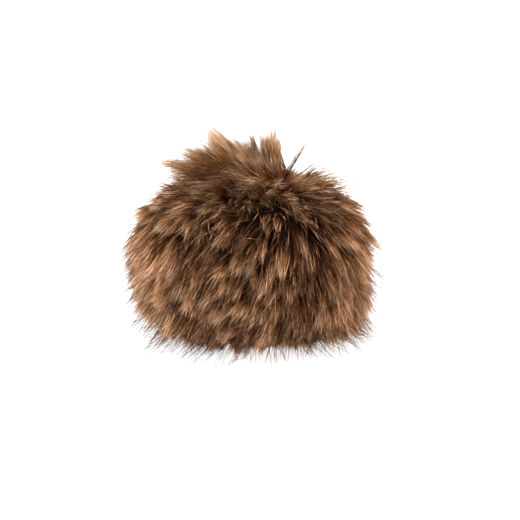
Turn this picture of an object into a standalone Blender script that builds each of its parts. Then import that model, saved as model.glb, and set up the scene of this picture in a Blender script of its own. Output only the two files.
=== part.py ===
"""A faux fur pom pom, lying on a flat surface.

One disc of long-pile fur fabric is gathered into a ball. The ball is soft, so it settles wider than it is
high and rests on a flat spot. Its pile falls from the crest on all sides. On the front it is swept to the
left, up to a line on the right. Longer bundles stand on the crest as a loose tuft: most fan out to the left,
one stands up, and thin ones point to the right and back. The pile is four-sided locks, fused by their roots
to one lumpy ball, and so one solid.

Metres, +Z up. The origin is on the resting surface, under the middle of the ball. The front faces -Y.
"""

import math
import random

import bmesh
import bpy
from mathutils import Quaternion, Vector, noise

MM = 0.001

# The fur's own size, where its dense pile ends
FUR_HALF_WIDTH = 0.060
FUR_HALF_DEPTH = 0.058
FUR_RISE = 0.039  # from the widest level up to the crest, without the tuft
WIDEST_LEVEL = 0.041  # height of the widest level above the resting surface
UPPER_FULLNESS = 3.4  # 2 is an ellipse seen from the side, and more is squarer
LOWER_FULLNESS = 2.3
SHEAR = -0.05  # how far the ball leans to the right, as a share of the height over its widest level

# The ball that the locks grow from
PILE_DEPTH = 0.0105  # how far the ball's surface lies inside the fur's
CREST_DEPTH = 0.006  # the same on the crest, where the pile lies flatter
FLAT_SPOT_SINK = 0.0022  # how far the round bottom would reach below the resting surface
LUMP_HEIGHT = 0.0012
LUMP_SIZE = 0.014
BALL_SUBDIVISIONS = 3

BALL_HALF_WIDTH = FUR_HALF_WIDTH - PILE_DEPTH
BALL_HALF_DEPTH = FUR_HALF_DEPTH - PILE_DEPTH
BALL_RISE = FUR_RISE - CREST_DEPTH
BALL_DROP = WIDEST_LEVEL + FLAT_SPOT_SINK

# How the pile is swept to the left on the front
SWEPT = math.radians(42)
SWEPT_LINE = 0.55  # where that ends on the right, as a share of the way there from the middle
SWEPT_LINE_WIDTH = 0.15

# Locks
SEED = 11
BODY_LOCKS = 238
UNDER_LOCKS = 20
ROOT_DEPTH = 0.0045  # how far a lock's root is buried
ROOT_RADIUS = 0.0034
TIP_RADIUS = 0.0003
BODY_LOCK = 0.0255  # length outside the ball
LOW_LOCK = 0.013  # the same for the lowest ones
UNDER_LOCK = 0.012
LENGTH_SPREAD = 0.12  # as a share of the length
BODY_LEAN = math.radians(55)  # from straight out
CREST_LEAN = math.radians(68)
LEAN_SPREAD = 0.12
TWIST = 0.10  # how much each step of a lock turns aside, at most
LOW_LEVEL = 0.008  # the lowest roots
HIGH_LEVEL = 0.030  # above this, locks have their full length
DROOP = 0.16  # how much each step of a lock turns down
UNDER_LATITUDE = math.radians(-40)  # of the roots of the locks round the flat spot
UNDER_LEAN = 0.25  # how steeply these start downwards
FLOOR_GAP = 0.0001
LOCK_SWELL = (0.80, 1.0, 0.62)  # a lock's thickness at the start of each of its steps

# The tuft's bundles, in mm: x and y of the root, x, y and z of the tip, and half the thickness
TUFT_BUNDLES = (
    (-14, 2, -45, 4, 87, 2.4),
    (-16, -8, -45, -6, 81, 2.6),
    (-6, 0, -40, 5, 92, 3.8),
    (-4, 6, -31, 10, 97, 4.2),
    (-12, -8, -38, -16, 83, 3.6),
    (0, -10, -30, -14, 86, 4.0),
    (4, -4, -26, -2, 93, 4.4),
    (6, -1, -20, 2, 105, 3.4),
    (8, -5, -15, -5, 99, 4.2),
    (12, -8, -9, -9, 95, 4.4),
    (16, -12, -3, -20, 84, 3.8),
    (12, -13, -17, -20, 82, 3.8),
    (10, 1, -5, 5, 101, 3.0),
    (11, 2, 4, 6, 106, 3.4),
    (13, 2, 9, 6, 106, 3.0),
    (18, 0, 29, 2, 100, 1.3),
    (19, 3, 25, 7, 93, 2.2),
    (21, 2, 34, 6, 90, 1.8),
    (22, 0, 41, 5, 85, 2.0),
    (22, -5, 47, -2, 79, 2.8),
    (10, 14, 16, 38, 88, 4.2),
    (-4, 14, -8, 38, 90, 4.2),
    (-14, 12, -32, 30, 87, 4.2),
    (20, 12, 36, 28, 82, 3.8),
)
TUFT_SWELL = (0.75, 1.0, 0.95, 0.7)
TUFT_ROOTS = Vector((0.001, -0.001))  # the middle of the place on the crest that only the tuft grows from
TUFT_ROOTS_RADIUS = 0.015
TUFT_ROUNDNESS = 0.5  # how far a bundle rises before it goes over, as a share of its length

FUR_BROWN = (0.155, 0.077, 0.040, 1.0)


def clear_scene():
    for old in list(bpy.data.objects):
        bpy.data.objects.remove(old, do_unlink=True)


def collection_named(name):
    made = bpy.data.collections.new(name)
    bpy.context.scene.collection.children.link(made)
    return made


def fur_material():
    made = bpy.data.materials.new("brown_faux_fur")
    made.use_nodes = True
    shader = made.node_tree.nodes["Principled BSDF"]
    shader.inputs["Base Color"].default_value = FUR_BROWN
    shader.inputs["Roughness"].default_value = 0.75
    shader.inputs["Metallic"].default_value = 0.0
    return made


def smooth_step(low, high, value):
    share = min(max((value - low) / (high - low), 0.0), 1.0)
    return share * share * (3 - 2 * share)


def on_ball(direction):
    """The place and outward normal of the ball's surface in this direction from its centre."""
    above = direction.z > 0
    half_height = BALL_RISE if above else BALL_DROP
    fullness = UPPER_FULLNESS if above else LOWER_FULLNESS
    across = math.hypot(direction.x / BALL_HALF_WIDTH, direction.y / BALL_HALF_DEPTH)
    upward = abs(direction.z) / half_height
    reach = (across**fullness + upward**fullness) ** (-1 / fullness)
    place = Vector((0, 0, WIDEST_LEVEL)) + direction * reach
    place.x += SHEAR * (place.z - WIDEST_LEVEL)
    slope = across ** (fullness - 2) if across > 1e-6 else 0.0
    normal = Vector(
        (
            slope * direction.x / BALL_HALF_WIDTH**2,
            slope * direction.y / BALL_HALF_DEPTH**2,
            math.copysign(upward ** (fullness - 1) / half_height, direction.z),
        )
    ).normalized()
    return place, normal


def over_crest(x, y):
    """The direction from the ball's centre to its upper surface at this x and y."""
    straight = x - SHEAR * BALL_RISE
    across = math.hypot(straight / BALL_HALF_WIDTH, y / BALL_HALF_DEPTH)
    height = BALL_RISE * (1 - across**UPPER_FULLNESS) ** (1 / UPPER_FULLNESS)
    return Vector((straight, y, height)).normalized()


def lump(direction):
    return LUMP_HEIGHT * noise.noise(direction * (FUR_HALF_WIDTH / LUMP_SIZE))


def make_ball(home, material):
    """The lumpy ball, cut level where it rests."""
    shape = bmesh.new()
    bmesh.ops.create_icosphere(shape, subdivisions=BALL_SUBDIVISIONS, radius=1.0)
    for vertex in shape.verts:
        direction = vertex.co.normalized()
        place, normal = on_ball(direction)
        vertex.co = place + normal * lump(direction)
    below = bmesh.ops.bisect_plane(
        shape,
        geom=shape.verts[:] + shape.edges[:] + shape.faces[:],
        plane_co=(0, 0, 0),
        plane_no=(0, 0, -1),
        clear_outer=True,
    )
    rim = [cut for cut in below["geom_cut"] if isinstance(cut, bmesh.types.BMEdge)]
    bmesh.ops.contextual_create(shape, geom=rim)
    bmesh.ops.recalc_face_normals(shape, faces=shape.faces[:])
    mesh = bpy.data.meshes.new("fur_ball")
    shape.to_mesh(mesh)
    shape.free()
    mesh.materials.append(material)
    mesh.shade_smooth()
    ball = bpy.data.objects.new("fur_ball", mesh)
    home.objects.link(ball)
    return ball


def spread_directions(count):
    """Directions spread evenly over a sphere, on a spiral."""
    golden = math.pi * (3 - math.sqrt(5))
    for index in range(count):
        height = 1 - 2 * (index + 0.5) / count
        ring = math.sqrt(1 - height * height)
        yield Vector((ring * math.cos(golden * index), ring * math.sin(golden * index), height))


def lay_of_pile(direction, normal):
    """Along the ball's surface: downwards, and turned to the left on the front."""
    down = Vector((0, 0, -1))
    lay = (down - normal * down.dot(normal)).normalized()
    front = max(-direction.y, 0.0) ** 2 / max(direction.x**2 + direction.y**2, 1e-9)
    past_line = smooth_step(SWEPT_LINE - SWEPT_LINE_WIDTH, SWEPT_LINE + SWEPT_LINE_WIDTH, direction.x)
    return Quaternion(normal, -SWEPT * front * (1 - past_line)) @ lay


def body_lock(direction, rng):
    """A lock's root, heading and length over the body, or None on the underside and under the tuft."""
    place, normal = on_ball(direction)
    under_tuft = place.z > WIDEST_LEVEL and (place.xy - TUFT_ROOTS).length < TUFT_ROOTS_RADIUS
    if under_tuft or place.z < LOW_LEVEL:
        return None
    lean = BODY_LEAN + (CREST_LEAN - BODY_LEAN) * smooth_step(0.1, 0.7, normal.z)
    lean += rng.uniform(-LEAN_SPREAD, LEAN_SPREAD)
    low = 1 - smooth_step(LOW_LEVEL, HIGH_LEVEL, place.z)
    heading = (normal * math.cos(lean) + lay_of_pile(direction, normal) * math.sin(lean)).normalized()
    length = BODY_LOCK + (LOW_LOCK - BODY_LOCK) * low
    return place, heading, length * rng.uniform(1 - LENGTH_SPREAD, 1 + LENGTH_SPREAD)


def under_locks(rng):
    """Short locks round the flat spot, which lie level and point outwards."""
    for index in range(UNDER_LOCKS):
        angle = 2 * math.pi * (index + rng.uniform(0.3, 0.7)) / UNDER_LOCKS
        place, _ = on_ball(Vector((math.cos(angle), math.sin(angle), math.tan(UNDER_LATITUDE))).normalized())
        heading = Vector((math.cos(angle), math.sin(angle), -UNDER_LEAN)).normalized()
        yield place, heading, UNDER_LOCK * rng.uniform(1 - LENGTH_SPREAD, 1 + LENGTH_SPREAD)


def radii_of_lock(half_thickness, swell):
    return [half_thickness * share for share in swell] + [TIP_RADIUS]


def lock_points(root, heading, length, radii, rng):
    """A lock's middle line from its buried root to its tip. It droops, and lies level on the surface."""
    steps = len(radii) - 1
    points = [root - heading * ROOT_DEPTH]
    place = root
    twist = Vector([rng.uniform(-TWIST, TWIST) for _ in range(3)])
    for step in range(steps):
        heading = (heading + twist + Vector((0, 0, -DROOP))).normalized()
        place = place + heading * (length / steps)
        floor = radii[step + 1] + FLOOR_GAP
        if place.z < floor:
            outwards = Vector((heading.x, heading.y, 0))
            place = Vector((place.x, place.y, floor))
            heading = outwards.normalized() if outwards.length > 1e-6 else heading
        points.append(place)
    return points


def bundle_points(root, normal, tip, steps):
    """The middle line of one of the tuft's bundles, which arches from its buried root to its tip."""
    reach = tip - root
    rise = (normal + reach.normalized()).normalized() * reach.length * TUFT_ROUNDNESS
    points = [root - rise.normalized() * ROOT_DEPTH]
    for step in range(1, steps + 1):
        share = step / steps
        points.append(root + rise * (2 * share * (1 - share)) + reach * share**2)
    return points


def add_lock(curve, points, radii, rng):
    spline = curve.splines.new("POLY")
    spline.points.add(len(points) - 1)
    tilt = rng.uniform(0, math.pi / 2)
    for point, place, radius in zip(spline.points, points, radii):
        point.co = (*place, 1)
        point.radius = radius
        point.tilt = tilt


def make_locks(home):
    """All locks as one closed mesh, to be joined to the ball."""
    rng = random.Random(SEED)
    curve = bpy.data.curves.new("locks", "CURVE")
    curve.dimensions = "3D"
    curve.bevel_depth = 1.0
    curve.bevel_resolution = 0
    curve.use_fill_caps = True
    radii = radii_of_lock(ROOT_RADIUS, LOCK_SWELL)
    found = [body_lock(direction, rng) for direction in spread_directions(BODY_LOCKS)]
    found += list(under_locks(rng))
    for root, heading, length in filter(None, found):
        add_lock(curve, lock_points(root, heading, length, radii, rng), radii, rng)
    for root_x, root_y, tip_x, tip_y, tip_z, half_thickness in TUFT_BUNDLES:
        root, normal = on_ball(over_crest(root_x * MM, root_y * MM))
        points = bundle_points(root, normal, Vector((tip_x, tip_y, tip_z)) * MM, len(TUFT_SWELL))
        add_lock(curve, points, radii_of_lock(half_thickness * MM, TUFT_SWELL), rng)
    guide = bpy.data.objects.new("lock_guide", curve)
    home.objects.link(guide)
    bpy.context.view_layer.update()
    graph = bpy.context.evaluated_depsgraph_get()
    mesh = bpy.data.meshes.new_from_object(guide.evaluated_get(graph))
    shape = bmesh.new()
    shape.from_mesh(mesh)
    bmesh.ops.remove_doubles(shape, verts=shape.verts[:], dist=1e-6)
    bmesh.ops.recalc_face_normals(shape, faces=shape.faces[:])
    shape.to_mesh(mesh)
    shape.free()
    locks = bpy.data.objects.new("locks", mesh)
    locks.matrix_world = guide.matrix_world
    bpy.data.objects.remove(guide)
    home.objects.link(locks)
    locks.hide_render = True
    locks.display_type = "WIRE"
    return locks


def main():
    clear_scene()
    pom_pom = collection_named("pom_pom")
    helpers = collection_named("helpers")
    ball = make_ball(pom_pom, fur_material())
    joined = ball.modifiers.new("locks", "BOOLEAN")
    joined.operation = "UNION"
    joined.object = make_locks(helpers)
    joined.use_self = True


main()
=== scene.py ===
import math

import bmesh
import bpy
import numpy as np
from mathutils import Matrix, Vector, noise


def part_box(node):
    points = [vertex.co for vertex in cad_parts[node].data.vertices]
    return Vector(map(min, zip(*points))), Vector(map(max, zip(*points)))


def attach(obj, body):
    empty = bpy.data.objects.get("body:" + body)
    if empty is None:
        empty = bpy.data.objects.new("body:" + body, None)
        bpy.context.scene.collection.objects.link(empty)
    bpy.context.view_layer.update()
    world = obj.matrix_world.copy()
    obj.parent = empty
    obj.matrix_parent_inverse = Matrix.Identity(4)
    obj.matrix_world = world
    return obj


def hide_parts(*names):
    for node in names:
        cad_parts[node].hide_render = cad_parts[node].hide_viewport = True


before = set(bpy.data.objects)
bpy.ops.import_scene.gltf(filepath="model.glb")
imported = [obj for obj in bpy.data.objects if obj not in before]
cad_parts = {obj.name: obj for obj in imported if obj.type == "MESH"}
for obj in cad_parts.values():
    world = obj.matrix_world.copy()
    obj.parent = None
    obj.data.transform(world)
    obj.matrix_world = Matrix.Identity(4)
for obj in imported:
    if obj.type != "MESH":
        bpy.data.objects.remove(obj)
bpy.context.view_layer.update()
furLow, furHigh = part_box("fur_ball")
furSpan = furHigh - furLow
mm = 0.001
level = np.array([1, 1, 0])          # takes the height out of a direction
upwards = np.array([0, 0, 1])
almostZero = 1e-12                   # keeps a division by zero out


def unit(vectors):
    return vectors / np.maximum(np.linalg.norm(vectors, axis=-1, keepdims=True), almostZero)


def smoothStep(low, high, value):
    share = np.clip((value - low) / (high - low), 0, 1)
    return share * share * (3 - 2 * share)


def mixed(start, end, share):
    return start + (end - start) * share


def angleBetween(ways, axis):
    return np.degrees(np.arccos(np.clip(ways @ axis, -1, 1)))


def near(ways, middle, core, edge):
    # 1 within the core's angle from the middle, and 0 beyond the edge's
    return 1 - smoothStep(core, edge, angleBetween(ways, middle))


# A wavy field is the sum of a few sine waves, in directions that come from its seed
waviness = {
    'sines': 6,
    'spread': (0.7, 1.4),            # of their numbers of waves, as shares of the number asked for
    'height': 2.4,                   # divides the sum, so that it is mostly between -1 and 1
}


def wavy(ways, field):
    # a smooth field over the ball, mostly within its 'by', that changes faster where it has more waves
    rng = np.random.default_rng(field['seed'])
    total = 0
    for _ in range(waviness['sines']):
        axis = unit(rng.normal(size=3))
        spread = rng.uniform(*waviness['spread'])
        start = rng.uniform(0, 2 * math.pi)
        total = total + np.sin(ways @ axis * field['waves'] * spread + start)
    return field['by'] * (total / waviness['height'])


def spreadWays(count, rng, jitter):
    # evenly over the whole ball, on a golden spiral, then moved by a share of their spacing
    index = np.arange(count)
    height = 1 - 2 * (index + 0.5) / count
    turn = index * math.pi * (3 - math.sqrt(5))
    ring = np.sqrt(1 - height**2)
    ways = np.stack([ring * np.cos(turn), ring * np.sin(turn), height], axis=1)
    return unit(ways + rng.normal(size=(count, 3)) * jitter * math.sqrt(4 * math.pi / count))


offAxis = [0.31, 0.47, 0.83]         # any direction will do: it only serves to find sides at right angles


def scattered(ways, each, reach, rng):
    # new directions round each of the old ones, within a reach in radians
    index = np.repeat(np.arange(len(ways)), each)
    repeated = ways[index]
    side = unit(np.cross(repeated, offAxis))
    other = np.cross(repeated, side)
    radius = np.broadcast_to(reach, len(ways))[index] * np.sqrt(rng.random(len(index)))
    turn = rng.uniform(0, 2 * math.pi, len(index))
    moved = side * (radius * np.cos(turn))[:, None] + other * (radius * np.sin(turn))[:, None]
    return unit(repeated + moved), index


# The ball of fur fabric under the pile, mostly as shares of the whole pom pom's box
ball = {
    'halfWidth': 0.338 * furSpan.x,
    'halfDepth': 0.332 * furSpan.y,
    'rise': 0.305 * furSpan.z,       # from the widest level to the top
    'level': 0.393 * furSpan.z,      # the widest level
    'depth': 0.342 * furSpan.z,      # from there to the bottom, before it is pressed flat
    'upperFullness': 3.9,            # 2 is an ellipse, more is squarer
    'lowerFullness': 3.0,
    'shear': -0.06,                  # leans to the right where positive
    'shift': 1.2 * mm,
    'floorGap': 5.4 * mm,            # pressed pile under the flat spot
    'levelTo': 24 * mm,              # the height below which the pile turns level
}


def onBall(ways):
    fullness = np.where(ways[:, 2] > 0, ball['upperFullness'], ball['lowerFullness'])
    halfHeight = np.where(ways[:, 2] > 0, ball['rise'], ball['depth'])
    across = np.hypot(ways[:, 0] / ball['halfWidth'], ways[:, 1] / ball['halfDepth'])
    upward = np.abs(ways[:, 2]) / halfHeight
    reach = (across**fullness + upward**fullness) ** (-1 / fullness)
    places = ways * reach[:, None]
    places[:, 0] += ball['shift'] + ball['shear'] * places[:, 2]
    places[:, 2] = np.maximum(places[:, 2] + ball['level'], ball['floorGap'])
    slope = across ** (fullness - 2)
    normals = np.stack([
        slope * ways[:, 0] / ball['halfWidth'] ** 2,
        slope * ways[:, 1] / ball['halfDepth'] ** 2,
        np.sign(ways[:, 2]) * upward ** (fullness - 1) / halfHeight,
    ], axis=1)
    return places, unit(normals)


# How the pile lies. It falls from the crest on all sides. On the front it is swept to the left, up to a
# line that runs down from the parting, and the patch below the crest is ruffled. A pair holds the two
# heights between which something changes: a direction's height is -1 straight down and 1 straight up.
lie = {
    'swept': 45,                     # degrees aside, where it is most
    'sweptMiddle': 8,                # degrees to the right of the front
    'highFade': 1.5,                 # how soon it ends round the side, high up
    'lowFade': 0.95,                 # and low down
    'fadeHeights': (-0.5, 0.5),
    'sweptTop': 0.36,                # the share of it that is left on the crest
    'topHeights': (0.15, 0.95),
    'lineAtBottom': 0.80,            # how far to the right the line runs: 0 is the middle and 1 the side
    'lineAtTop': 0.38,
    'lineHeights': (0.0, 0.8),
    'lineWidth': 0.13,
    'rightward': 3,                  # degrees, high on the right
    'rightHeights': (0.25, 0.7),
    'ruffledMiddle': unit(np.array([0.10, -0.66, 0.75])),
    'ruffledReach': (5, 15),         # degrees above and below its middle, from fully to not at all
    'ruffledWidth': 2,               # times as far to the sides
    'upperFacing': (0.1, 0.7),       # how far the surface faces up, from a side of the ball to its top
}


def facingUp(normals):
    return smoothStep(*lie['upperFacing'], normals[:, 2])


def underShare(places):
    # how far the pile is turned level, under the ball
    return 1 - smoothStep(ball['floorGap'], ball['levelTo'], places[:, 2])


def ruffledShare(ways):
    offset = np.degrees(ways - lie['ruffledMiddle'])
    offset[:, 0] /= lie['ruffledWidth']
    return 1 - smoothStep(*lie['ruffledReach'], np.linalg.norm(offset, axis=1))


def turnedLay(lays, normals, degrees):
    # turned about the surface's normal, to the left as seen from outside
    turn = np.radians(degrees)[:, None]
    return unit(lays * np.cos(turn) - np.cross(normals, lays) * np.sin(turn))


def layOfPile(ways, places, normals):
    heights = ways[:, 2]
    down = unit(normals * normals[:, 2:] - upwards)
    line = mixed(lie['lineAtBottom'], lie['lineAtTop'], smoothStep(*lie['lineHeights'], heights))
    left = 1 - smoothStep(line - lie['lineWidth'], line + lie['lineWidth'], ways[:, 0])
    turn = np.degrees(np.arctan2(ways[:, 0], -ways[:, 1])) - lie['sweptMiddle']
    turn = turn * mixed(lie['lowFade'], lie['highFade'], smoothStep(*lie['fadeHeights'], heights))
    front = np.cos(np.radians(np.clip(turn, -90, 90))) ** 2
    front = front * mixed(1, lie['sweptTop'], smoothStep(*lie['topHeights'], heights))
    right = smoothStep(*lie['rightHeights'], heights) * (1 - left) * (ways[:, 1] < 0)
    lay = turnedLay(down, normals, lie['swept'] * left * front - lie['rightward'] * right)
    return unit(mixed(lay, unit(ways * level), underShare(places)[:, None]))


def colour(hexCode):
    # sRGB to linear, by the standard's own numbers
    channels = [int(hexCode[i:i + 2], 16) / 255 for i in (0, 2, 4)]
    linear = [c / 12.92 if c <= 0.04045 else ((c + 0.055) / 1.055) ** 2.4 for c in channels]
    return (*linear, 1)


def addNode(tree, kind, settings=None, links=None):
    # a socket goes by its name, or by its number where several have the same name
    node = tree.nodes.new(kind)
    for name, value in (settings or {}).items():
        if isinstance(name, int) or name in node.inputs:
            node.inputs[name].default_value = value
        else:
            setattr(node, name, value)
    for name, source in (links or {}).items():
        tree.links.new(source, node.inputs[name])
    return node


def setRamp(node, stops):
    # missing elements start in the middle of the ramp and are then moved
    elements = node.color_ramp.elements
    while len(elements) < len(stops):
        elements.new(0.5)
    for element, (place, hexCode) in zip(elements, stops):
        element.position = place
        element.color = colour(hexCode)


def newMaterial(name):
    material = bpy.data.materials.new(name)
    material.use_nodes = True
    return material, material.node_tree, material.node_tree.nodes["Principled BSDF"]


camera = {
    'lens': 100,                     # mm
    'distance': 0.714,               # metres
    'elevation': 12,                 # degrees
    'target': (4.4 * mm, 0.0, 41 * mm),
}


def makeCamera():
    data = bpy.data.cameras.new("camera")
    data.lens = camera['lens']
    eye = bpy.data.objects.new("camera", data)
    tilt = math.radians(camera['elevation'])
    back = Vector((0, -math.cos(tilt), math.sin(tilt)))
    eye.location = Vector(camera['target']) + back * camera['distance']
    eye.rotation_mode = 'QUATERNION'
    eye.rotation_quaternion = back.to_track_quat('Z', 'Y')
    bpy.context.scene.collection.objects.link(eye)
    bpy.context.scene.camera = eye
    bpy.context.scene.view_settings.view_transform = 'Standard'
    print("camera set")


# Studio: a light tent, with a glowing white floor, a soft box on each side and one above. The tent is
# brightest behind the pom pom. Sizes and places are in metres, and powers in watts.
studio = {
    'white': 'ffffff',
    'backdrop': 1.1,                 # as the camera sees it
    'frontLight': 0.42,              # from behind the camera
    'backLight': 1.3,
    'floorSize': 6,
    'floorPaint': 0.6,
    'floorRoughness': 0.9,
    'floorGlow': 0.85,               # as the camera sees it
    'floorFill': 0.40,               # as it lights the fur from below
    'boxes': {
        'left_box': {'size': 0.8, 'power': 33.0, 'place': (-0.90, -0.48, 0.16), 'tint': 'f6faff'},
        'right_box': {'size': 0.8, 'power': 16.5, 'place': (0.95, -0.15, 0.20), 'tint': 'fff4e8'},
        'top_box': {'size': 1.2, 'power': 10.0, 'place': (-0.10, -0.10, 1.10), 'tint': 'ffffff'},
    },
}


def makeFloor():
    # matt white emulsion paint, rolled on: an even white without a reflection
    bpy.ops.mesh.primitive_plane_add(size=studio['floorSize'])
    floor = bpy.context.object
    floor.name = "studio_floor"
    paint, tree, shader = newMaterial("matt white paint")
    shader.inputs["Base Color"].default_value = (studio['floorPaint'],) * 3 + (1,)
    shader.inputs["Roughness"].default_value = studio['floorRoughness']
    shader.inputs["Emission Color"].default_value = colour(studio['white'])
    ray = addNode(tree, "ShaderNodeLightPath")
    glow = addNode(tree, "ShaderNodeMapRange", {
        'To Min': studio['floorFill'],
        'To Max': studio['floorGlow'],
    }, {'Value': ray.outputs["Is Camera Ray"]})
    tree.links.new(glow.outputs[0], shader.inputs["Emission Strength"])
    floor.data.materials.append(paint)
    print("floor made")


def makeTent():
    world = bpy.data.worlds.new("studio")
    bpy.context.scene.world = world
    world.use_nodes = True
    tree = world.node_tree
    way = addNode(tree, "ShaderNodeTexCoord")
    axes = addNode(tree, "ShaderNodeSeparateXYZ", links={'Vector': way.outputs["Generated"]})
    # a direction's Y is -1 towards the front and 1 towards the back
    tentLight = addNode(tree, "ShaderNodeMapRange", {
        'From Min': -1.0,
        'From Max': 1.0,
        'To Min': studio['frontLight'],
        'To Max': studio['backLight'],
    }, {'Value': axes.outputs["Y"]})
    ray = addNode(tree, "ShaderNodeLightPath")
    # the Mix node's 0 is its factor, and 2 and 3 are its two numbers
    strength = addNode(tree, "ShaderNodeMix", {
        'data_type': 'FLOAT',
        3: studio['backdrop'],
    }, {0: ray.outputs["Is Camera Ray"], 2: tentLight.outputs[0]})
    sky = tree.nodes["Background"]
    sky.inputs["Color"].default_value = colour(studio['white'])
    tree.links.new(strength.outputs[0], sky.inputs["Strength"])
    for name, box in studio['boxes'].items():
        light = bpy.data.lights.new(name, 'AREA')
        light.shape = 'DISK'
        light.size = box['size']
        light.energy = box['power']
        light.color = colour(box['tint'])[:3]
        lamp = bpy.data.objects.new(name, light)
        lamp.location = box['place']
        lamp.rotation_mode = 'QUATERNION'
        lamp.rotation_quaternion = Vector(box['place']).to_track_quat('Z', 'Y')
        bpy.context.scene.collection.objects.link(lamp)
    print("tent lit, with", len(studio['boxes']), "soft boxes")


# How a hair grows, in every piece. A share runs along it, from 0 at the root to 1 at the tip.
growth = {
    'bendPower': 0.8,                # under 1 it bends most near the root
    'shortPower': 1.5,               # over 1 few hairs are much shorter than the rest
    'gatheredBy': 0.95,              # the share at which it has come as near its wisp's middle as it gets
    'combed': 0.6,                   # how much less it gathers where the pile is combed smooth
    'partPower': 1.6,                # wisps part slowly at first
    'strayPower': 2,                 # and single hairs later still
    'crimpWave': 0.75,               # of half a wave, so that the tip keeps most of its crimp
    'tinted': (0.86, 1.10),          # how far along the fibre's tints a full hair reaches
    'alongLimits': (0.004, 0.996),   # both stay inside the map
    'toneLimits': (0.01, 0.99),
    'lightestHair': 0.45,            # how far above its wisp's tone, as a share of the look's 'hairTone'
    'widths': (0.7, 1.2),            # shares of the look's width
}
# Hairs that meet the floor lie on it
onFloor = {
    'heights': (0.15 * mm, 1.6 * mm),
    'leastLevel': 0.2,               # of a step, so that one that drops straight down isn't laid far aside
}
# A hair is a flat strip, which is drawn wider than a real fibre so that it shows
strip = {
    'thinned': 0.55,                 # how much narrower it is near the tip
    'rootWidth': 0.6,                # as a share of its full width
    'widening': 2,                   # which it has at a fifth of its length
    'lowest': 0.05 * mm,             # above the floor
    'mapHalfWidth': 0.002,
}


def alongHair(points):
    return np.linspace(0, 1, points)[None, :, None]


def bentLine(normals, lays, lengths, leanStart, leanEnd, points):
    # from the root, leaning more and more along the lay; offsets from the root
    line = [np.zeros_like(normals)]
    for step in range(points - 1):
        share = (step + 0.5) / (points - 1)
        lean = np.radians(mixed(leanStart, leanEnd, share ** growth['bendPower']))[:, None]
        heading = unit(normals * np.cos(lean) + lays * np.sin(lean))
        line.append(line[-1] + heading * (lengths / (points - 1))[:, None])
    return np.stack(line, axis=1)


def archedLine(rise, reach, points):
    # from the root along rise and then over towards reach; offsets from the root
    share = alongHair(points)
    return 2 * share * (1 - share) * rise[:, None] + share**2 * reach[:, None]


def laidOnFloor(paths, rng):
    # hairs that meet the floor turn and lie on it, each at its own small height
    rest = rng.uniform(*onFloor['heights'], len(paths))
    laid = paths.copy()
    for step in range(1, paths.shape[1]):
        stride = paths[:, step] - paths[:, step - 1]
        length = np.linalg.norm(stride, axis=1)
        place = laid[:, step - 1] + stride
        drop = np.maximum(rest - place[:, 2], 0)
        place[:, 2] += drop
        sideways = np.linalg.norm(stride[:, :2], axis=1)
        rise = place[:, 2] - laid[:, step - 1, 2]
        wanted = np.sqrt(np.maximum(length**2 - rise**2, 0))
        share = wanted / np.maximum(sideways, onFloor['leastLevel'] * length)
        share = np.where(drop > 0, share, 1)
        place[:, :2] = laid[:, step - 1, :2] + stride[:, :2] * share[:, None]
        laid[:, step] = place
    return laid


def growWisps(locks, look, rng):
    # fills each lock with wisps
    ways, lock = scattered(locks['ways'], locks['wisps'], locks['reach'], rng)
    places, _ = onBall(ways)
    count = len(ways)
    unrest = locks['unrest'][lock]
    aside = locks['fan'][lock] * rng.uniform(-1, 1, (count, 1))
    aside = aside + locks['deep'][lock] * rng.uniform(-1, 1, (count, 1))
    return {
        'ways': ways,
        'places': places,
        'lock': lock,
        'bend': aside + rng.normal(size=(count, 3)) * (look['wispStray'] * unrest)[:, None],
        'length': 1 - look['wispUneven'] * rng.random(count) ** growth['shortPower'],
        'tone': rng.normal(size=count) * look['wispTone'] * unrest,
    }


def growHairs(locks, look, rng):
    # fills each wisp with hairs, which gather towards its tip, as the wisps do towards their lock's tip
    wisps = growWisps(locks, look, rng)
    ways, wisp = scattered(wisps['ways'], look['hairsEach'], look['wispReach'], rng)
    lock = wisps['lock'][wisp]
    roots, _ = onBall(ways)
    count = len(ways)
    share = alongHair(look['points'])
    length = wisps['length'][wisp] * (1 - look['hairUneven'] * rng.random(count) ** growth['shortPower'])
    toLock = (locks['places'][lock] - wisps['places'][wisp])[:, None]
    toLock = toLock * locks['gathered'][lock][:, None, None]
    toWisp = (wisps['places'][wisp] - roots)[:, None] * look['wispGathered']
    toWisp = toWisp * (1 - growth['combed'] * locks['combed'][lock])[:, None, None]
    paths = roots[:, None] + locks['line'][lock] * length[:, None, None]
    paths = paths + (toLock + toWisp) * smoothStep(0.0, growth['gatheredBy'], share)
    paths = paths + wisps['bend'][wisp][:, None] * share ** growth['partPower']
    astray = (look['hairStray'] * locks['unrest'][lock])[:, None, None]
    paths = paths + rng.normal(size=(count, 1, 3)) * astray * share ** growth['strayPower']
    crimped = np.sin(share * math.pi * growth['crimpWave'])
    paths = paths + rng.normal(size=paths.shape) * look['crimp'] * crimped
    paths = laidOnFloor(paths, rng)
    along = share[:, :, 0] * (length * rng.uniform(*growth['tinted'], count))[:, None]
    tone = locks['tone'][lock] + wisps['tone'][wisp]
    tone = tone + (growth['lightestHair'] - np.abs(rng.normal(size=count))) * look['hairTone']
    tone = tone - look['darkBy'] * (rng.random(count) < look['darkShare'])
    width = look['width'] * rng.uniform(*growth['widths'], count)
    width = np.where(rng.random(count) < look['heavyShare'], look['heavyWidth'], width)
    return paths, along, tone, width


def addPiece(name, mesh, material):
    piece = bpy.data.objects.new(name, mesh)
    bpy.context.scene.collection.objects.link(piece)
    mesh.materials.append(material)
    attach(piece, "root")
    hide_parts("fur_ball")
    return piece


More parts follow.
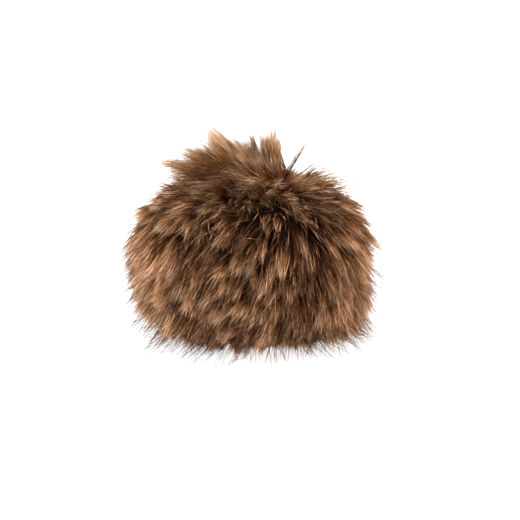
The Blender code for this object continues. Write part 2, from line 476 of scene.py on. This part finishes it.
def stripFaces(count, rows):
    # for each hair, four-sided faces and then a pointed end
    corners = []
    for row in range(rows - 1):
        corners += [2 * row, 2 * row + 1, 2 * row + 3, 2 * row + 2]
    corners += [2 * rows - 2, 2 * rows - 1, 2 * rows]
    hair = np.arange(count)[:, None]
    allCorners = (hair * (2 * rows + 1) + corners).ravel()
    faceStarts = (hair * len(corners) + np.arange(rows) * 4).ravel()
    return allCorners, faceStarts


def onStrips(left, right):
    # the values of a strip's left and right edges in turn, up to the tip, which they share
    count, points = left.shape[:2]
    values = np.empty((count, 2 * points - 1, *left.shape[2:]))
    values[:, 0::2] = left
    values[:, 1::2] = right[:, :-1]
    return values


def hairPiece(name, paths, width, along, tone, rng, material):
    count, points, _ = paths.shape
    tangents = unit(np.gradient(paths, axis=1))
    roll = unit(rng.normal(size=(count, 1, 3)))
    share = np.linspace(0, 1, points)
    taper = np.minimum(1, strip['rootWidth'] + strip['widening'] * share)
    taper = (1 - strip['thinned'] * share**2) * taper
    taper[-1] = 0
    half = unit(np.cross(tangents, roll)) * (width[:, None] * taper)[:, :, None] / 2
    vertices = onStrips(paths - half, paths + half)
    vertices[:, :, 2] = np.maximum(vertices[:, :, 2], strip['lowest'])
    along = np.clip(along, *growth['alongLimits'])
    tone = np.repeat(np.clip(tone, *growth['toneLimits'])[:, None], points, axis=1)
    toneStep = strip['mapHalfWidth'] * np.where(share < 1, 1, 0)
    hairMap = np.stack([onStrips(along, along), onStrips(tone - toneStep, tone + toneStep)], axis=2)
    corners, faceStarts = stripFaces(count, points - 1)
    mesh = bpy.data.meshes.new(name)
    mesh.vertices.add(count * (2 * points - 1))
    mesh.vertices.foreach_set("co", vertices.astype(np.float32).ravel())
    mesh.loops.add(len(corners))
    mesh.loops.foreach_set("vertex_index", corners.astype(np.int32))
    mesh.polygons.add(len(faceStarts))
    mesh.polygons.foreach_set("loop_start", faceStarts.astype(np.int32))
    layer = mesh.uv_layers.new(name="OFBake")
    layer.uv.foreach_set("vector", hairMap.reshape(-1, 2)[corners].astype(np.float32).ravel())
    mesh.shade_smooth()
    mesh.update()
    mesh.validate()
    addPiece(name, mesh, material)
    print(name, count, "hairs,", count * (2 * points - 3), "triangles")


# Modacrylic fibre, drawn and dyed: dark at the root and tan at the tip, as the fur's maker tips it. The
# near-black of the roots and lower half is partly that dye and partly painted shade, the darkness deep
# between the locks. It gives the eye a soft, slightly glossy brown that darkens quickly between the locks.
pileFibre = {
    'darkHair': [(0.0, '080100'), (0.52, '140500'), (0.78, '3f1c07'), (0.92, '6f4526'), (1.0, '8c6247')],
    'lightHair': [(0.0, '140501'), (0.48, '3f1b06'), (0.70, 'b68053'), (0.87, 'fad0aa'), (1.0, 'fbe3cb')],
    'roughness': 0.52,
}
# The same fibre in the tuft, where it stands apart. Its roots and middles are painted lighter than the
# pile's, as painted light for the light that comes through it down to the root
tuftFibre = {
    'darkHair': [(0.0, '140400'), (0.48, '2f1503'), (0.77, '51290d'), (0.92, '7b5232'), (1.0, '9a7656')],
    'lightHair': [(0.0, '280d01'), (0.34, '5a290a'), (0.60, 'a6774a'), (0.84, 'debd9c'), (1.0, 'e8d8ca')],
    'roughness': 0.52,
}
# A coarser modacrylic, dyed in one bath and left untipped. It gives the eye thin dark lines over the pile.
guardFibre = {
    'darkHair': [(0.0, '120602'), (0.5, '32190c'), (0.8, '3e2218'), (1.0, '38221c')],
    'lightHair': [(0.0, '1b0f09'), (0.5, '7a563c'), (0.8, 'a5795a'), (1.0, 'b08a6c')],
    'roughness': 0.45,
}
allFibres = {
    'ior': 1.5,                      # about modacrylic's
    'specular': 0.05,                # the strips are wider than fibres, so they would shine too much
}
# The fibre is crimped. Painted glints: each hair's colour is painted lighter and darker in short stretches,
# for the light that the crimp catches, and its roughness changes with them
paintedCrimpGlints = {
    'along': 9,                      # to a hair of 25 mm, so one every 2.8 mm, like the crimp
    'across': 90,                    # to the whole range of tones, so that each hair has its own
    'detail': 1.0,
    'seenBetween': (0.3, 0.7),       # the values that most of the pattern lies between
    'tone': 0.40,                    # by how much they change the tone
    'gloss': 0.1,                    # and the roughness
}


def makeFibre(name, look):
    material, tree, shader = newMaterial(name)
    shader.inputs["IOR"].default_value = allFibres['ior']
    shader.inputs["Specular IOR Level"].default_value = allFibres['specular']
    # the map goes from the root to the tip along X, and from a dark hair to a light one along Y
    place = addNode(tree, "ShaderNodeUVMap", {'uv_map': "OFBake"})
    axes = addNode(tree, "ShaderNodeSeparateXYZ", links={'Vector': place.outputs["UV"]})
    dark = addNode(tree, "ShaderNodeValToRGB", links={'Fac': axes.outputs["X"]})
    setRamp(dark, look['darkHair'])
    light = addNode(tree, "ShaderNodeValToRGB", links={'Fac': axes.outputs["X"]})
    setRamp(light, look['lightHair'])
    stretched = addNode(tree, "ShaderNodeVectorMath", {
        'operation': 'MULTIPLY',
        1: (paintedCrimpGlints['along'], paintedCrimpGlints['across'], 1),
    }, {0: place.outputs["UV"]})
    # painted glints: noise stretched along the hairs, which lightens and darkens the tone in short stretches
    paintedGlints = addNode(tree, "ShaderNodeTexNoise", {
        'Scale': 1.0,
        'Detail': paintedCrimpGlints['detail'],
    }, {'Vector': stretched.outputs[0]})
    seenFrom, seenTo = paintedCrimpGlints['seenBetween']
    tone = addNode(tree, "ShaderNodeMapRange", {
        'From Min': seenFrom,
        'From Max': seenTo,
        'To Min': -paintedCrimpGlints['tone'],
        'To Max': paintedCrimpGlints['tone'],
    }, {'Value': paintedGlints.outputs["Fac"]})
    gloss = addNode(tree, "ShaderNodeMapRange", {
        'From Min': seenFrom,
        'From Max': seenTo,
        'To Min': look['roughness'] + paintedCrimpGlints['gloss'],
        'To Max': look['roughness'] - paintedCrimpGlints['gloss'],
    }, {'Value': paintedGlints.outputs["Fac"]})
    varied = addNode(tree, "ShaderNodeMath", {
        'operation': 'ADD',
        'use_clamp': True,
    }, {0: axes.outputs["Y"], 1: tone.outputs[0]})
    # the Mix node's 0 is its factor, 6 and 7 are its two colours, and the colour comes out of 2
    blend = addNode(tree, "ShaderNodeMix", {
        'data_type': 'RGBA',
    }, {0: varied.outputs[0], 6: dark.outputs["Color"], 7: light.outputs["Color"]})
    tree.links.new(blend.outputs[2], shader.inputs["Base Color"])
    tree.links.new(gloss.outputs[0], shader.inputs["Roughness"])
    return material


# Knitted polyester ground with its short underfur. Its matt, nearly black brown behind the pile is painted
# shade, for the depth between the locks
skin = {
    'subdivisions': 5,
    'bumps': 9,                      # how close together they are
    'bumpHeight': 0.6 * mm,
    'grain': 900.0,                  # to a metre, so about one to a stitch of 1.1 mm
    'grainDetail': 3.0,
    'tints': [(0.3, '0d0604'), (0.7, '2a170d')],
    'roughness': 0.9,
}


def makeSkin():
    shape = bmesh.new()
    bmesh.ops.create_icosphere(shape, subdivisions=skin['subdivisions'], radius=1.0)
    ways = unit(np.array([vertex.co for vertex in shape.verts]))
    places, _ = onBall(ways)
    for vertex, place, way in zip(shape.verts, places, ways):
        vertex.co = place + way * noise.noise(Vector(way) * skin['bumps']) * skin['bumpHeight']
        vertex.co.z = max(vertex.co.z, ball['floorGap'])
    mesh = bpy.data.meshes.new("fur_skin")
    shape.to_mesh(mesh)
    shape.free()
    mesh.shade_smooth()
    ground, tree, shader = newMaterial("knitted ground with underfur")
    shader.inputs["Roughness"].default_value = skin['roughness']
    surface = addNode(tree, "ShaderNodeTexCoord")
    grain = addNode(tree, "ShaderNodeTexNoise", {
        'Scale': skin['grain'],
        'Detail': skin['grainDetail'],
    }, {'Vector': surface.outputs["Object"]})
    # painted shade: nearly black browns, varied by the grain
    tint = addNode(tree, "ShaderNodeValToRGB", links={'Fac': grain.outputs["Fac"]})
    setRamp(tint, skin['tints'])
    tree.links.new(tint.outputs["Color"], shader.inputs["Base Color"])
    piece = addPiece("fur_skin", mesh, ground)
    print("fur_skin made")


# The dense pile, which gathers into brush-like locks. Angles are in degrees. A tone of 0 is dark and 1 is
# light. 'smooth', 'ruffled', 'low' and so on give the value, or its change, in that part of the ball.
pile = {
    'seed': 5,
    'locks': 980,
    'wisps': 8,                      # in a lock
    'hairsEach': 18,                 # in a wisp
    'points': 4,
    'pieces': 5,
    'jitter': 0.25,
    'lowest': -0.97,                 # a direction's height, below which there are no roots
    # the parts of the ball, with the angles from their middles at which they begin to end and have ended
    'middle': unit(np.array([-0.10, -0.95, 0.30])),   # where the locks part most
    'middleReach': (15, 50),
    'rightSide': unit(np.array([0.78, -0.42, 0.46])),  # where they lie smoothest
    'rightReach': (22, 52),
    'shoulders': unit(np.array([[-0.52, -0.05, 0.85], [0.52, -0.05, 0.86]])),
    'shoulderReach': (6, 24),
    'lowLevels': (7 * mm, 46 * mm),  # heights: fully low under the first, not at all above the second
    'flatWithin': 0.2 * mm,          # of the flat spot's level
    'crestFront': (0.05, 0.35),      # how far forward a direction points, where the crest's front begins
    # lengths
    'length': 25 * mm,
    'lowLength': 15 * mm,
    'smoothLength': 28 * mm,
    'ruffledLength': 14 * mm,
    'underLength': 9 * mm,
    'dipped': 0.76,                  # the share of its length that the pile has on the shoulders
    'lengthWaves': {'by': 0.07, 'waves': 12, 'seed': 7},
    'lengthNoise': 0.10,
    'smoothLengthNoise': -0.07,
    # directions: the wander is aside from the lay, and the lean is from straight out
    'wander': {'by': 8, 'waves': 9, 'seed': 3},
    'smoothWander': 0.6,             # how much of it is combed out
    'wanderNoise': 6,
    'ruffledWanderNoise': 9,
    'smoothWanderNoise': -2,
    'lean': 50,
    'upperLean': 76,                 # where the surface faces up
    'crestLean': 82,                 # along the front of the crest
    'underLean': 84,                 # low down, where the pile turns level
    'flatLean': 50,                  # under the flat spot
    'smoothLean': 12,
    'ruffledLean': -5,
    'leanNoise': 5,
    'partedLeanNoise': 5,            # more in the middle and the ruffled patch
    'leanGrowth': 20,                # from the root to the tip
    'droop': 5.0 * mm,               # over the shoulders, by its own weight
    'droopFrom': (0.10, 0.45),       # how far the surface faces up, where the droop begins
    'droopTo': (0.90, 0.99),         # and where it ends again
    # how it gathers, as shares: 1 would bring all of a lock's wisps together at its tip
    'gathered': 0.64,
    'partedGathered': 0.28,          # more in the middle and the ruffled patch
    'lowGathered': 0.6,              # of that, low down
    'smoothGathered': -0.50,
    'gatheredNoise': 0.07,
    'gatheredLimits': (0.12, 0.92),
    'wispGathered': 0.84,
    'clumps': 270,                   # groups of locks that lean together
    'clumpJitter': 0.5,
    'clumped': 0.50,
    'clumpPower': 1.5,
    'lockReach': 1.25,               # times the radius of its own share of the ball, so that locks overlap
    'wispReach': 0.036,              # radians
    # unrest
    'ruffledUnrest': 0.15,
    'smoothUnrest': -0.45,
    'wispStray': 1.7 * mm,
    'wispUneven': 0.24,
    'hairStray': 0.9 * mm,
    'hairUneven': 0.30,
    'crimp': 0.66 * mm,
    # tones and widths
    'tone': 0.76,
    'toneWaves': {'by': 0.08, 'waves': 8, 'seed': 17},
    'toneNoise': 0.25,
    'lowToneNoise': 0.12,            # more low down and in the ruffled patch
    'smoothToneNoise': -0.18,
    'wispTone': 0.20,
    'hairTone': 0.50,
    'darkShare': 0.34,
    'darkBy': 0.5,
    'width': 0.27 * mm,
    'heavyWidth': 0.44 * mm,         # a few fibres that cling together
    'heavyShare': 0.5,
    # painted light and shade: lighter and darker places on the front, as the camera sees it, with soft
    # edges, which raise the locks' tone for painted highlights and lower it for painted shadows
    'paintedPatchLevel': 41 * mm,
    'paintedPatchDepths': (-10 * mm, 10 * mm),   # they fade out between these, on the way to the back
    'paintedLightAndShade': [                      # in mm: x, height above that level, half width, half height; change
        (-54, -5, 14, 40, 0.20),
        (61, -4, 8, 36, 0.50),
        (55, 12, 7, 12, 0.80),
        (-27, -9, 10, 10, -0.80),
        (20, -29, 7, 10, -0.80),
        (51, -30, 9, 8, 0.90),
        (28, -15, 5, 13, -1.00),
        (47, -11, 6, 8, -0.60),
        (35, -3, 5, 14, 0.40),
        (-4, 2, 7, 11, -1.10),
        (-40, 18, 12, 8, 0.25),
        (-20, -42, 20, 6, -0.50),
        (35, 15, 10, 12, -0.90),
        (0, -41, 12, 9, 0.90),
        (-47, -25, 9, 10, 0.60),
        (-40, 4, 9, 9, 0.90),
        (-14, 27, 9, 8, -0.30),
        (37, -33, 6, 6, 0.50),
        (43, -40, 12, 5, 0.60),
        (-4, -18, 6, 8, 0.70),
    ],
}


def paintedLightAndShadeAt(tips):
    # painted light and shade: how much lighter or darker the locks on the front are painted, by where their
    # tips lie as the camera sees them
    tilt = math.radians(camera['elevation'])
    height = tips[:, 2] * math.cos(tilt) + tips[:, 1] * math.sin(tilt) - pile['paintedPatchLevel']
    total = np.zeros(len(tips))
    for x, up, halfWidth, halfHeight, change in pile['paintedLightAndShade']:
        aside = (tips[:, 0] - x * mm) / (halfWidth * mm)
        above = (height - up * mm) / (halfHeight * mm)
        total = total + change * np.exp(-(aside**2 + above**2))
    return total * (1 - smoothStep(*pile['paintedPatchDepths'], tips[:, 1]))


def pileLength(ways, under, low, smooth, ruffled, rng):
    length = mixed(pile['length'], pile['lowLength'], low)
    length = mixed(length, pile['smoothLength'], smooth)
    length = mixed(length, pile['ruffledLength'], ruffled)
    length = mixed(length, pile['underLength'], under)
    for top in pile['shoulders']:
        length = length * mixed(1, pile['dipped'], near(ways, top, *pile['shoulderReach']))
    noisy = pile['lengthNoise'] + pile['smoothLengthNoise'] * smooth
    return length * (1 + wavy(ways, pile['lengthWaves']) + rng.normal(size=len(ways)) * noisy)


def makePile(material):
    rng = np.random.default_rng(pile['seed'])
    ways = spreadWays(pile['locks'], rng, pile['jitter'])
    ways = ways[ways[:, 2] > pile['lowest']]
    places, normals = onBall(ways)
    count = len(ways)
    share = alongHair(pile['points'])

    # the parts of the ball
    ruffled = ruffledShare(ways)
    upper = facingUp(normals)
    middle = near(ways, pile['middle'], *pile['middleReach'])
    smooth = near(ways, pile['rightSide'], *pile['rightReach'])
    parted = np.maximum(middle, ruffled)
    low = 1 - smoothStep(*pile['lowLevels'], places[:, 2])
    under = underShare(places)
    flat = places[:, 2] < ball['floorGap'] + pile['flatWithin']
    crest = upper * smoothStep(*pile['crestFront'], -ways[:, 1]) * (1 - smooth)

    # each lock's line
    wander = wavy(ways, pile['wander']) * (1 - pile['smoothWander'] * smooth)
    noisy = pile['wanderNoise'] + pile['ruffledWanderNoise'] * ruffled + pile['smoothWanderNoise'] * smooth
    wander = wander + rng.normal(size=count) * noisy
    lay = turnedLay(layOfPile(ways, places, normals), normals, wander)
    length = pileLength(ways, under, low, smooth, ruffled, rng)
    lean = mixed(pile['lean'], pile['upperLean'], upper) + pile['smoothLean'] * smooth * (1 - upper)
    lean = mixed(lean, pile['crestLean'], crest)
    lean = mixed(lean, np.where(flat, pile['flatLean'], pile['underLean']), under)
    lean = lean + rng.normal(size=count) * (pile['leanNoise'] + pile['partedLeanNoise'] * parted)
    lean = lean + pile['ruffledLean'] * ruffled
    turning = pile['leanGrowth'] / 2
    line = bentLine(normals, lay, length, lean - turning, lean + turning, pile['points'])

    # how the locks gather, clump and droop
    gathered = pile['gathered'] + pile['partedGathered'] * np.maximum(parted, pile['lowGathered'] * low)
    gathered = gathered + pile['smoothGathered'] * smooth + rng.normal(size=count) * pile['gatheredNoise']
    clumps, _ = onBall(spreadWays(pile['clumps'], rng, pile['clumpJitter']))
    nearest = np.argmin(np.linalg.norm(places[:, None] - clumps[None], axis=2), axis=1)
    toClump = (clumps[nearest] - places)[:, None] * share ** pile['clumpPower']
    line = line + toClump * (pile['clumped'] * (1 - smooth))[:, None, None]
    shoulder = smoothStep(*pile['droopFrom'], normals[:, 2])
    shoulder = shoulder * (1 - smoothStep(*pile['droopTo'], normals[:, 2]))
    line = line - pile['droop'] * shoulder[:, None, None] * share**2 * upwards

    noisy = pile['toneNoise'] + pile['lowToneNoise'] * np.maximum(low, ruffled)
    noisy = noisy + pile['smoothToneNoise'] * smooth
    tone = pile['tone'] + wavy(ways, pile['toneWaves']) + rng.normal(size=count) * noisy
    locks = {
        'ways': ways,
        'places': places,
        'wisps': pile['wisps'],
        'reach': pile['lockReach'] * math.sqrt(4 / pile['locks']) * (1 + smooth),
        'line': line,
        'gathered': np.clip(gathered, *pile['gatheredLimits']),
        'fan': np.zeros((count, 3)),
        'deep': np.zeros((count, 3)),
        'unrest': 1 + pile['ruffledUnrest'] * ruffled + pile['smoothUnrest'] * smooth,
        'combed': smooth,
        # each lock's tone, with the painted light and shade of the front added
        'tone': tone + paintedLightAndShadeAt(places + line[:, -1]),
    }
    paths, along, tone, width = growHairs(locks, pile, rng)
    bounds = np.linspace(0, len(paths), pile['pieces'] + 1).astype(int)
    for index, (start, end) in enumerate(zip(bounds[:-1], bounds[1:])):
        some = slice(start, end)
        hairPiece("pile_%d" % (index + 1), paths[some], width[some], along[some], tone[some], rng, material)


# The loose tuft on the crest: bundles of longer hairs. The columns give each bundle's root, its tip, half
# the width of its tip, all in mm from the middle of the flat spot, its number of wisps, its tone and how
# far its hairs stray.
tuft = {
    'columns': ('rootX', 'rootY', 'tipX', 'tipY', 'tipZ', 'fan', 'wisps', 'tone', 'unrest'),
    'bundles': [
        (-14, -2, -47, 0, 89, 1.2, 7, 0.75, 1),
        (-14, -4, -43, -2, 86, 1.5, 5, 0.65, 1),
        # painted shade: this bundle and the two of tone 0.06 and 0.08 lie low on the front of the left fan,
        # darkened for the shade in the valley under it
        (-8, -8, -37, -10, 86, 2.0, 7, 0.12, 1),
        (-8, 2, -37, 2, 91, 2.5, 10, 0.66, 1),
        (-7, 2, -35.5, 4, 93.5, 3, 12, 0.66, 1),
        (-6, 3, -33, 6, 97, 3, 12, 0.66, 1),
        (-4, 3, -27, 8, 98, 3, 10, 0.70, 1),
        (0, -8, -26, -10, 90, 3, 12, 0.06, 1),
        (-4, -6, -34, -9, 89, 3, 12, 0.08, 1),
        (-3, 1, -22.5, 3, 101.5, 1.2, 10, 0.80, 1),
        (-1, 1, -22.5, 3, 105, 1.2, 12, 0.80, 1),
        (1, 1, -19.5, 3, 104.5, 2.0, 14, 0.80, 1),
        (2, 1, -15, 3, 101, 2.2, 11, 0.94, 1),
        (4, 1, -11, 3, 98.5, 2.5, 10, 0.94, 1),
        (5, 1, -6, 4, 99.5, 2, 12, 0.82, 1),
        (6, 1, -2, 3, 100, 1.5, 10, 0.66, 1),
        (6, 2, 0.2, 4, 103.5, 0.7, 7, 0.70, 1),
        (8, 1, 3.0, 3, 98, 1.2, 8, 0.64, 1),
        (9, 1, 5.6, 3, 104, 0.7, 9, 0.68, 1),
        (10, 1, 7.8, 3, 105, 0.7, 9, 0.80, 1),
        (12, 1, 10.6, 3, 106, 0.6, 10, 0.80, 1),
        (13.5, 1, 12.4, 2, 103, 0.5, 8, 0.76, 1),
        (3, -5, -12, -6, 93, 4, 12, 0.30, 1),
        (6, -5, -6, -6, 92, 4, 14, 0.46, 1),
        (10, -5, 2, -6, 93, 4, 14, 0.58, 1),
        (13, -4, 9, -4, 93, 3, 12, 0.52, 1),
        (8, -10, -12, -20, 84, 2, 5, 0.48, 2.5),
        (10, -12, -2, -26, 81.5, 2, 6, 0.65, 2.8),
        (2, -10, -22, -18, 83, 3, 6, 0.25, 2),
        (-5, -12, -25, -20, 79, 3, 6, 0.35, 2),
        (17, -2, 31, 0, 104, 0.3, 1, 0.98, 0.4),
        (17, 0, 20, 2, 86.5, 2.5, 5, 0.95, 1),
        (19, -2, 34.5, 0, 93, 0.4, 1, 0.80, 0.7),
        (20, -3, 41.5, 0, 87.5, 0.5, 1, 0.78, 0.7),
        (21, -4, 37, -2, 83, 1.0, 2, 0.95, 1),
        (22, -6, 46, -4, 81, 1.5, 4, 0.88, 1),
        (18, -6, 27, -8, 84, 3, 5, 0.95, 1),
        (20, -8, 35, -10, 77, 3, 6, 0.88, 1),
        (10, 12, 13, 27, 84, 5, 10, 0.60, 1),
        (0, 12, -4, 29, 87, 5, 10, 0.55, 1),
        (-10, 10, -23, 25, 86.5, 5, 10, 0.45, 1),
        (18, 8, 29, 20, 77, 4, 8, 0.60, 1),
        (5, 6, 3, 15, 93, 4, 10, 0.55, 1),
        (-4, 6, -15, 15, 93, 4, 10, 0.50, 1),
        (-10, 4, -29, 13, 91, 4, 8, 0.50, 1),
        (12, 6, 9, 14, 92, 3, 8, 0.58, 1),
        (14, -13, 9, -28, 81, 2, 5, 0.60, 2),
        (12, -12, 16, -38, 75, 0.5, 1, 0.25, 1.6),
        (13, -13, 22, -46, 68, 0.5, 1, 0.25, 1.6),
    ],
    'seed': 22,
    'points': 6,
    'rootReach': 0.16,               # radians
    'overshoot': 1.12,               # few hairs have the full length
    'leaning': 0.8,                  # how far a bundle sets off towards its tip, and not straight out
    'arch': 0.5,                     # how high it is drawn up, as a share of its length
    'gathered': 0.75,
    'deep': 6 * mm,                  # how far a bundle spreads to the front and the back
    'hairsEach': 32,
    'wispReach': 0.045,
    'wispStray': 1.2 * mm,
    'wispUneven': 0.26,
    'wispTone': 0.10,
    'wispGathered': 0.72,
    'hairUneven': 0.34,
    'hairStray': 1.0 * mm,
    'crimp': 0.30 * mm,
    'hairTone': 0.17,
    'darkShare': 0.10,
    'darkBy': 0.45,
    'width': 0.22 * mm,
    'heavyWidth': 0.38 * mm,
    'heavyShare': 0.15,
}


def crestWays(rootX, rootY):
    # the directions of places on the ball's upper half that are given from above
    x = rootX - ball['shift'] - ball['shear'] * ball['rise']
    across = np.hypot(x / ball['halfWidth'], rootY / ball['halfDepth'])
    fullness = ball['upperFullness']
    z = ball['rise'] * (1 - across**fullness) ** (1 / fullness)
    return unit(np.stack([x, rootY, z], axis=1))


def makeTuft(material):
    rng = np.random.default_rng(tuft['seed'])
    bundle = dict(zip(tuft['columns'], np.array(tuft['bundles']).T))
    ways = crestWays(bundle['rootX'] * mm, bundle['rootY'] * mm)
    places, normals = onBall(ways)
    count = len(ways)
    tips = np.stack([bundle['tipX'], bundle['tipY'], bundle['tipZ']], axis=1) * mm
    reach = (tips - places) * tuft['overshoot']
    length = np.linalg.norm(reach, axis=1, keepdims=True)
    rise = unit(normals + tuft['leaning'] * unit(reach)) * length * tuft['arch']
    sideways = unit(np.cross(reach, [0.0, 1.0, 0.0]))
    locks = {
        'ways': ways,
        'places': places,
        'wisps': bundle['wisps'].astype(int),
        'reach': tuft['rootReach'],
        'line': archedLine(rise, reach, tuft['points']),
        'gathered': np.full(count, tuft['gathered']),
        'fan': sideways * bundle['fan'][:, None] * mm,
        'deep': np.tile([0.0, tuft['deep'], 0.0], (count, 1)),
        'unrest': bundle['unrest'],
        'combed': np.zeros(count),
        'tone': bundle['tone'],
    }
    paths, along, tone, width = growHairs(locks, tuft, rng)
    hairPiece("tuft", paths, width, along, tone, rng, material)


# Guard hairs: longer, single and dark, most of them low on the ball
guard = {
    'seed': 8,
    'count': 8000,                   # before they are thinned
    'jitter': 0.5,
    'keptLow': 0.62,
    'keptHigh': 0.34,
    'keptHeights': (-0.35, 0.6),
    'lowest': -0.75,
    'points': 6,
    'length': 30 * mm,
    'lowLength': 26 * mm,
    'lengths': (0.8, 1.15),
    'lowLevels': (7 * mm, 34 * mm),
    'wanderNoise': 8,                # degrees aside
    'upright': 13,                   # degrees that they stand off the pile, but not low down
    'leanNoise': 8,
    'rootLean': -8,                  # degrees added at the root and at the tip
    'tipLean': 10,
    'fall': 22,                      # degrees below level, low down
    'fallNoise': 9,
    'outwardNoise': 0.16,            # added to a direction of length 1
    'stray': 1.6 * mm,
    'tone': 0.12,
    'highTone': 0.3,                 # more, high up
    'toneHeights': (-0.1, 0.8),
    'toneNoise': 0.2,
    'width': 0.24 * mm,
}


def makeGuardHairs(material):
    rng = np.random.default_rng(guard['seed'])
    ways = spreadWays(guard['count'], rng, guard['jitter'])
    kept = mixed(guard['keptLow'], guard['keptHigh'], smoothStep(*guard['keptHeights'], ways[:, 2]))
    ways = ways[(rng.random(len(ways)) < kept) & (ways[:, 2] > guard['lowest'])]
    places, normals = onBall(ways)
    count = len(ways)
    low = 1 - smoothStep(*guard['lowLevels'], places[:, 2])
    wander = wavy(ways, pile['wander']) + rng.normal(size=count) * guard['wanderNoise']
    lay = turnedLay(layOfPile(ways, places, normals), normals, wander)
    length = mixed(guard['length'], guard['lowLength'], low) * rng.uniform(*guard['lengths'], count)
    lean = mixed(pile['lean'], pile['upperLean'], facingUp(normals)) - guard['upright']
    lean = mixed(lean, 0, low) + rng.normal(size=count) * guard['leanNoise']
    fall = np.radians(guard['fall'] + rng.normal(size=(count, 1)) * guard['fallNoise'])
    outwards = unit((ways + rng.normal(size=ways.shape) * guard['outwardNoise']) * level)
    falling = outwards * np.cos(fall) - upwards * np.sin(fall)
    axes = unit(mixed(normals, falling, low[:, None]))
    rootLean = lean + guard['rootLean'] * (1 - low)
    line = bentLine(axes, lay, length, rootLean, lean + guard['tipLean'], guard['points'])
    share = alongHair(guard['points'])
    astray = rng.normal(size=(count, 1, 3)) * guard['stray'] * share ** growth['strayPower']
    paths = laidOnFloor(places[:, None] + line + astray, rng)
    tone = guard['tone'] + guard['highTone'] * smoothStep(*guard['toneHeights'], ways[:, 2])
    tone = tone + rng.normal(size=count) * guard['toneNoise']
    width = guard['width'] * rng.uniform(*growth['widths'], count)
    along = np.repeat(share[:, :, 0], count, axis=0)
    hairPiece("guard_hairs", paths, width, along, tone, rng, material)


# Strays: fine, slightly curly hairs that have come loose and lie across the locks
stray = {
    'seed': 13,
    'count': 5200,
    'jitter': 0.6,
    'lowest': -0.72,
    'points': 7,
    'length': 21 * mm,
    'lengths': (0.7, 1.25),
    'lowLength': 0.7,                # as a share
    'lowLevels': (8 * mm, 30 * mm),
    'aside': 18,                     # degrees from the lay
    'upright': 4,                    # degrees that they stand off the pile
    'leanNoise': 9,
    'rootLean': -10,
    'tipLean': 18,
    'curl': 0.7 * mm,
    'curlWaves': (1, 2),             # half waves along a hair, laid over each other
    'darkShare': 0.5,
    'darkTone': 0.05,
    'lightTones': (0.4, 0.95),
    'width': 0.17 * mm,
    'widths': (0.8, 1.3),
}


def makeStrayHairs(material):
    rng = np.random.default_rng(stray['seed'])
    ways = spreadWays(stray['count'], rng, stray['jitter'])
    ways = ways[ways[:, 2] > stray['lowest']]
    places, normals = onBall(ways)
    count = len(ways)
    lay = turnedLay(layOfPile(ways, places, normals), normals, rng.normal(size=count) * stray['aside'])
    lean = mixed(pile['lean'], pile['upperLean'], facingUp(normals)) - stray['upright']
    lean = lean + rng.normal(size=count) * stray['leanNoise']
    length = stray['length'] * rng.uniform(*stray['lengths'], count)
    length = length * mixed(stray['lowLength'], 1.0, smoothStep(*stray['lowLevels'], places[:, 2]))
    line = bentLine(normals, lay, length, lean + stray['rootLean'], lean + stray['tipLean'], stray['points'])
    share = alongHair(stray['points'])
    paths = places[:, None] + line
    for waves in stray['curlWaves']:
        sway = np.sin(share * math.pi * waves + rng.uniform(0, 2 * math.pi, (count, 1, 1)))
        paths = paths + rng.normal(size=(count, 1, 3)) * sway * share * stray['curl']
    paths = laidOnFloor(paths, rng)
    isDark = rng.random(count) < stray['darkShare']
    tone = np.where(isDark, stray['darkTone'], rng.uniform(*stray['lightTones'], count))
    width = stray['width'] * rng.uniform(*stray['widths'], count)
    along = np.repeat(share[:, :, 0], count, axis=0)
    hairPiece("stray_hairs", paths, width, along, tone, rng, material)


makeCamera()
makeFloor()
makeTent()
makeSkin()
pileMaterial = makeFibre("modacrylic pile fibre", pileFibre)
makePile(pileMaterial)
makeTuft(makeFibre("modacrylic tuft fibre", tuftFibre))
makeGuardHairs(makeFibre("modacrylic guard hair", guardFibre))
makeStrayHairs(pileMaterial)
